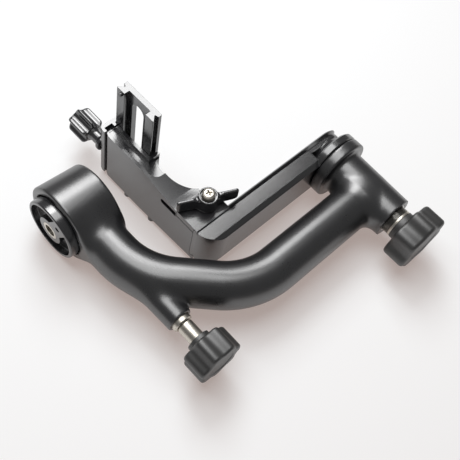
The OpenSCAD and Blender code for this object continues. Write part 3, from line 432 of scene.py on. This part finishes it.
def skin(field, lo, hi, h):
    """Surface nets: a quad mesh of the zero level of a field, drawn onto it."""
    n = [int(math.ceil((b - a) / h)) + 1 for a, b in zip(lo, hi)]
    ax = [lo[i] + h * np.arange(n[i]) for i in range(3)]
    g = field(ax[0][:, None, None], ax[1][None, :, None], ax[2][None, None, :])
    g = np.broadcast_to(g, n)
    inside = g < 0
    s = np.zeros([m - 1 for m in n], np.int32)
    for i in (0, 1):
        for j in (0, 1):
            for k in (0, 1):
                s += inside[i:n[0] - 1 + i, j:n[1] - 1 + j, k:n[2] - 1 + k]
    cells = np.argwhere((s > 0) & (s < 8))
    index = -np.ones(s.shape, np.int64)
    index[tuple(cells.T)] = np.arange(len(cells))
    total, count = np.zeros((len(cells), 3)), np.zeros(len(cells))
    for d in range(3):
        e, f = [(0, 0), (1, 0), (0, 1), (1, 1)], [i for i in range(3) if i != d]
        for o1, o2 in e:
            base = cells.copy()
            base[:, f[0]] += o1
            base[:, f[1]] += o2
            far = base.copy()
            far[:, d] += 1
            a, b = g[tuple(base.T)], g[tuple(far.T)]
            hit = (a < 0) != (b < 0)
            t = np.where(hit, a / np.where(hit, a - b, 1), 0)
            p = base.astype(float)
            p[:, d] += t
            total[hit] += p[hit]
            count[hit] += 1
    v = np.array(lo) + h * total / count[:, None]
    faces = []
    for d in range(3):
        u, w = (d + 1) % 3, (d + 2) % 3
        sl0 = [slice(None)] * 3
        sl1 = [slice(None)] * 3
        sl0[d], sl1[d] = slice(0, n[d] - 1), slice(1, n[d])
        a, b = inside[tuple(sl0)], inside[tuple(sl1)]
        hit = np.argwhere(a != b)
        ok = (hit[:, u] > 0) & (hit[:, w] > 0) & (hit[:, u] < n[u] - 1) & (hit[:, w] < n[w] - 1)
        hit = hit[ok]
        quad = []
        for du, dw in ((1, 1), (0, 1), (0, 0), (1, 0)):
            c = hit.copy()
            c[:, u] -= du
            c[:, w] -= dw
            quad.append(index[tuple(c.T)])
        quad = np.stack(quad, 1)
        flip = ~a[tuple(hit.T)]
        quad[flip] = quad[flip][:, ::-1]
        faces.append(quad)
    faces = np.concatenate(faces)
    e = 0.05
    for _ in range(3):
        x, y, z = v.T
        f0 = field(x, y, z)
        gr = np.stack([
            field(x + e, y, z) - field(x - e, y, z),
            field(x, y + e, z) - field(x, y - e, z),
            field(x, y, z + e) - field(x, y, z - e),
        ], 1) / (2 * e)
        g2 = (gr ** 2).sum(1)
        step = gr * (f0 / np.maximum(g2, 0.25))[:, None]
        long = np.linalg.norm(step, axis=1)
        step *= np.minimum(1, 0.4 * h / np.maximum(long, 1e-9))[:, None]
        v = v - step
    return v, faces


def make_arm():
    """The skin of the arm, kept inside the box of its solid."""
    h = 1.1
    v, f = skin(arm_field, (-33, -33, 3), (155.4, 33, 235), h)
    lo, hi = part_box("cast_arm")
    v = np.clip(v, np.array(lo) * MM, np.array(hi) * MM)
    piece("cast_arm_form", v, f, "cast_arm", angle=50)


# ---- knobs ---------------------------------------------------------------------

def flutes(r=10.0, n=6, lobe=0.36, valley=0.40, m=28, base=0.84):
    """Outline of the fluted clamp knob as a share of its radius, softened like a moulding."""
    ts = np.arange(n * m) * 2 * math.pi / (n * m)
    out = np.full(len(ts), r * base)

    def ray(i, c, size):
        """Where rays meet a circle of that size, c out at turn i: hit or not, middle, half chord."""
        d = np.abs((ts - i * 2 * math.pi / n + math.pi) % (2 * math.pi) - math.pi)
        half = np.sqrt(np.maximum(size ** 2 - (c * np.sin(d)) ** 2, 0))
        return (np.abs(c * np.sin(d)) < size) & (d < 1.0), c * np.cos(d), half

    for i in range(n):
        hit, middle, half = ray(i, r - r * lobe, r * lobe)
        out = np.where(hit, np.maximum(out, middle + half), out)
    for i in range(n):
        hit, middle, half = ray(i + 0.5, r * 1.02, r * valley)
        out = np.where(hit, np.minimum(out, middle - half), out)
    for _ in range(6):
        out = (np.roll(out, 1) + 2 * out + np.roll(out, -1)) / 4
    return out / out.max()


def broad_lobes(n, depth, sharp=0.5, m=24):
    """Outline of a grip with n broad lobes, as a share of its full radius."""
    ts = np.arange(n * m) * 2 * math.pi / (n * m)
    wave = np.tanh(sharp * np.cos(n * ts)) / math.tanh(sharp)
    return 1 - depth * (1 - wave) / 2


def shaped(profile, tie, z, shape, turn=0.0):
    """A turned form whose rows follow an outline, each as far as its tie from 0 to 1."""
    n = len(shape)

    def reach(t, k):
        return 1 + (shape[int(round((t - turn) / (2 * math.pi) * n)) % n] - 1) * tie[k]
    return turned(profile, (0, 0, z), n, reach=reach)


def grip(r, x, z, phase, e):
    """The lobed rubber grip: a tight round of size e at each end and a shallow recess outside."""
    l, quarter = KNOB_L, np.linspace(math.pi / 2, 0, 6)
    face = [(x + e * (1 - math.sin(t)), r - e * (1 - math.cos(t))) for t in quarter]
    back = [(x + l - e * (1 - math.sin(t)), r - e * (1 - math.cos(t)))
            for t in np.linspace(0, math.pi / 2, 6)]
    prof = [(x, 0.0), (x, r * 0.55), (x, r * 0.72)] + face + back
    prof += [(x + l, r * 0.70), (x + l, r * 0.62), (x + l - 0.25, r * 0.60),
             (x + l - 0.6, r * 0.58), (x + l - 0.6, 0.0)]
    tie = [0, 0, 0.6] + [1] * (len(face) + len(back)) + [0.5, 0, 0, 0, 0]
    return shaped(prof, tie, z, broad_lobes(KNOB_LOBES, LOBE_DEPTH), math.radians(phase))


def ring(x0, x1, hole, r, z, e):
    """A turned ring about X with its corners rounded by e."""
    return turned(rounded([(x0, hole), (x0, r), (x1, r), (x1, hole)], e), (0, 0, z))


def make_threads():
    """The threaded end of the tilt insert, the bright washer against it and the pan stud's sleeve."""
    lo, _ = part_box("tilt_insert")
    inner, x = lo[0] * MM, THREAD_X0
    prof = [(inner, INSERT_BORE), (inner, TILT_PIT_R), (THREAD_X0, TILT_PIT_R)]
    while x < THREAD_X1 - 0.2:
        prof += [(x, THREAD_ROOT), (x + 0.35, THREAD_CREST), (x + 0.45, THREAD_CREST),
                 (x + 0.75, THREAD_ROOT)]
        x += THREAD_PITCH
    prof += [(THREAD_X1, THREAD_ROOT), (THREAD_X1, INSERT_BORE)]
    piece("tilt_insert_form", *turned(prof, (0, 0, TILT_Z)), "tilt_insert", angle=20)
    washer = ring(WASHER_X0, WASHER_X1, INSERT_BORE, WASHER_R, TILT_Z, 0.35)
    piece("tilt_washer_form", *washer, "tilt_washer")
    sleeve = rounded([(SLEEVE_X0, STUD_R), (SLEEVE_X0, SLEEVE_R - 0.3), (SLEEVE_X0 + 1.3, SLEEVE_R),
                      (SLEEVE_X1, SLEEVE_R), (SLEEVE_X1, STUD_R)], 0.3)
    piece("pan_stud_sleeve", *turned(sleeve, (0, 0, LOCK_Z)), "pan_stud", standin=False)


def make_knobs():
    """The two rubber lock knobs with their collars, and the fluted clamp knob with its neck."""
    v = joined(grip(PAN_KNOB_R, PAN_KNOB_X, LOCK_Z, PAN_PHASE, 2.2),
               ring(PAN_COLLAR_X, PAN_KNOB_X + 1.4, PAN_HOLE, COLLAR_R, LOCK_Z, 0.5))
    piece("pan_knob_grip", *v, "pan_knob")
    v = joined(grip(TILT_KNOB_R, TILT_KNOB_X, TILT_Z, TILT_PHASE, 2.8),
               ring(TILT_COLLAR_X, TILT_KNOB_X + 1.6, TILT_HOLE, TILT_COLLAR_R, TILT_Z, 0.5))
    piece("tilt_knob_grip", *v, "tilt_knob")
    x0, x1, r = CLAMP_X0, CLAMP_X1, CLAMP_R
    prof = [(x0, 0.0), (x0, r - 5.2), (x0 + 0.2, r - 3.4), (x0 + 0.7, r - 1.9), (x0 + 1.5, r - 0.8),
            (x0 + 2.6, r - 0.15), (x0 + 3.6, r), (x1 - 2.6, r), (x1 - 1.6, r - 0.3),
            (x1 - 0.8, r - 1.0), (x1 - 0.2, r - 2.0), (x1, r - 3.0), (x1, 0.0)]
    tie = [0, 0, 0.3, 0.6, 0.85, 0.97, 1, 1, 0.97, 0.9, 0.6, 0.3, 0]
    neck = [(x1 - 1.0, 3.0), (x1 - 1.0, 6.4), (x1 + 2.4, 4.7), (x1 + 8.0, 4.7), (x1 + 10.0, 6.4),
            (x1 + 12.4, 6.4), (x1 + 12.4, 3.0)]
    v = joined(shaped(prof, tie, SCREW_Z, flutes()), turned(rounded(neck, 0.5), (0, 0, SCREW_Z)))
    piece("clamp_knob_grip", *v, "clamp_knob")


def lever_field(x, y, z):
    """The cast wing lever: two blades that swell into the hub, a dished top and the bore of its screw."""
    s, c = math.sin(math.radians(WING_DIR)), math.cos(math.radians(WING_DIR))
    h = LEAF_Y - y
    u = (x - WING_X) * s + (z - WING_Z) * c
    w = (x - WING_X) * c - (z - WING_Z) * s
    rho = np.hypot(u, w)
    au = np.abs(u)
    swell = np.clip(1 - au / 12.5, 0, 1) ** 1.5 * 3.6
    top = BLADE_TOP - 1.5 * np.clip((11 - au) / 4.0, 0, 1)
    low = BLADE_LOW + 1.6 * np.clip((au - 18.5) / 4.75, 0, 1) ** 2
    mid, half = (top + low) / 2, (top - low) / 2
    blade = box2(u, h - mid, BLADE_REACH, half, 1.6)
    side = np.abs(w) - BLADE_SIDE - swell + 0.045 * (h - 3.0)
    q = np.maximum(blade, side)
    corner = np.hypot(np.maximum(blade + 0.9, 0), np.maximum(side + 0.9, 0)) - 0.9
    q = np.where((blade > -0.9) & (side > -0.9), corner, q)
    hub = box2(rho, h - LEVER_HUB_MID, LEVER_HUB_R, LEVER_HUB_HALF, 0.5)
    f = smin(q, hub, 2.6)
    f = np.maximum(f, LEVER_GAP - h)
    f = np.maximum(f, -np.maximum(rho - DISH_R, DISH_H - h))
    return np.maximum(f, -(rho - LEVER_BORE))


def make_lever():
    """The skin of the wing lever, kept inside the box of its solid."""
    lo, hi = (np.array(b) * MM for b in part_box("wing_lever"))
    v, f = skin(lever_field, lo - 1.6, hi + 1.6, 0.45)
    piece("wing_lever_form", np.clip(v, lo, hi), f, "wing_lever", angle=40)


make_arm()
make_knobs()
make_lever()
make_threads()

for name in ("swing_bar", "platform", "pinch_jaw", "clamp_jaw", "lens_plate", "base_disc", "wing_screw"):
    refined(name)

for name, ob in nodes.items():
    ob.data.materials.clear()
    ob.data.materials.append(MATS[slot_of[name]])

# ---- camera, table and light ------------------------------------------------------

SKY = 0.16          # strength of the white surroundings for every ray but the camera's
TABLE = (0.60, 0.665, 0.69, 1)
TABLE_SEEN = (0.345, 0.275, 0.25, 1)    # added to the lit table for camera and glossy rays
AIM = (0.06, 0.0, 0.11)                 # about the middle of the head, which both lamps face
TABLE_HALF = 6
bpy.context.scene.view_settings.view_transform = "Standard"

# fitted to the photo: the camera's right, down and forward axes, its place in metres, its lens
cam_data = bpy.data.cameras.new("camera")
cam = bpy.data.objects.new("camera", cam_data)
bpy.context.scene.collection.objects.link(cam)
right = (0.6815094, -0.1419065, 0.7179189)
down = (0.6802277, 0.4846227, -0.5499374)
ahead = (-0.2698801, 0.8631358, 0.4268036)
place = (0.2376053, -0.5013960, -0.1472896)
cam.matrix_world = Matrix([
    (right[i], -down[i], -ahead[i], place[i]) for i in range(3)
] + [(0, 0, 0, 1)])
cam_data.sensor_width = 36.0
cam_data.lens = 61.99
cam_data.clip_start = 0.01
cam_data.clip_end = 50.0
bpy.context.scene.camera = cam

table_y = float(start[1][1]) + 0.00002
me = bpy.data.meshes.new("table")
corners = [(i * TABLE_HALF, table_y, k * TABLE_HALF) for i, k in ((-1, -1), (1, -1), (1, 1), (-1, 1))]
me.from_pydata(corners, [], [(0, 1, 2, 3)])
table = bpy.data.objects.new("table", me)
bpy.context.scene.collection.objects.link(table)
mat = bpy.data.materials.new("table_white")
mat.use_nodes = True
t = mat.node_tree
t.nodes.clear()
out = wire(t, "ShaderNodeOutputMaterial")
white = wire(t, "ShaderNodeBsdfDiffuse")
white.inputs["Color"].default_value = TABLE
lift = wire(t, "ShaderNodeEmission")
lift.inputs["Color"].default_value = TABLE_SEEN
seen = wire(t, "ShaderNodeLightPath")
either = maths(t, "MAXIMUM", seen.outputs["Is Camera Ray"], seen.outputs["Is Glossy Ray"])
t.links.new(either, lift.inputs["Strength"])
both = wire(t, "ShaderNodeAddShader")
t.links.new(white.outputs[0], both.inputs[0])
t.links.new(lift.outputs[0], both.inputs[1])
clear = wire(t, "ShaderNodeBsdfTransparent")
geo = wire(t, "ShaderNodeNewGeometry")
pick = wire(t, "ShaderNodeMixShader")
t.links.new(geo.outputs["Backfacing"], pick.inputs[0])
t.links.new(both.outputs[0], pick.inputs[1])
t.links.new(clear.outputs[0], pick.inputs[2])
t.links.new(pick.outputs[0], out.inputs[0])
me.materials.append(mat)
table.visible_shadow = False

world = bpy.data.worlds.new("world")
bpy.context.scene.world = world
world.use_nodes = True
t = world.node_tree
t.nodes.clear()
out = wire(t, "ShaderNodeOutputWorld")
sky = wire(t, "ShaderNodeBackground", Strength=SKY)
sky.inputs["Color"].default_value = (1.0, 1.0, 1.0, 1)
plain = wire(t, "ShaderNodeBackground", Strength=1.0)
plain.inputs["Color"].default_value = (1, 1, 1, 1)
ray = wire(t, "ShaderNodeLightPath")
pick = wire(t, "ShaderNodeMixShader")
t.links.new(ray.outputs["Is Camera Ray"], pick.inputs[0])
t.links.new(sky.outputs[0], pick.inputs[1])
t.links.new(plain.outputs[0], pick.inputs[2])
t.links.new(pick.outputs[0], out.inputs[0])


def lamp(name, where, size, power):
    """A white rectangular lamp that faces the head, its place in metres and its power in watts."""
    data = bpy.data.lights.new(name, "AREA")
    data.shape = "RECTANGLE"
    data.size, data.size_y = size
    data.energy = power
    ob = bpy.data.objects.new(name, data)
    bpy.context.scene.collection.objects.link(ob)
    ob.location = where
    ob.rotation_mode = "QUATERNION"
    ob.rotation_quaternion = (Vector(AIM) - Vector(where)).to_track_quat("-Z", "Y")


lamp("softbox", (-0.57, -0.93, 0.51), (0.56, 0.6), 7.2)
lamp("overhead", (-0.22, -1.05, 0.08), (0.9, 0.8), 8.0)
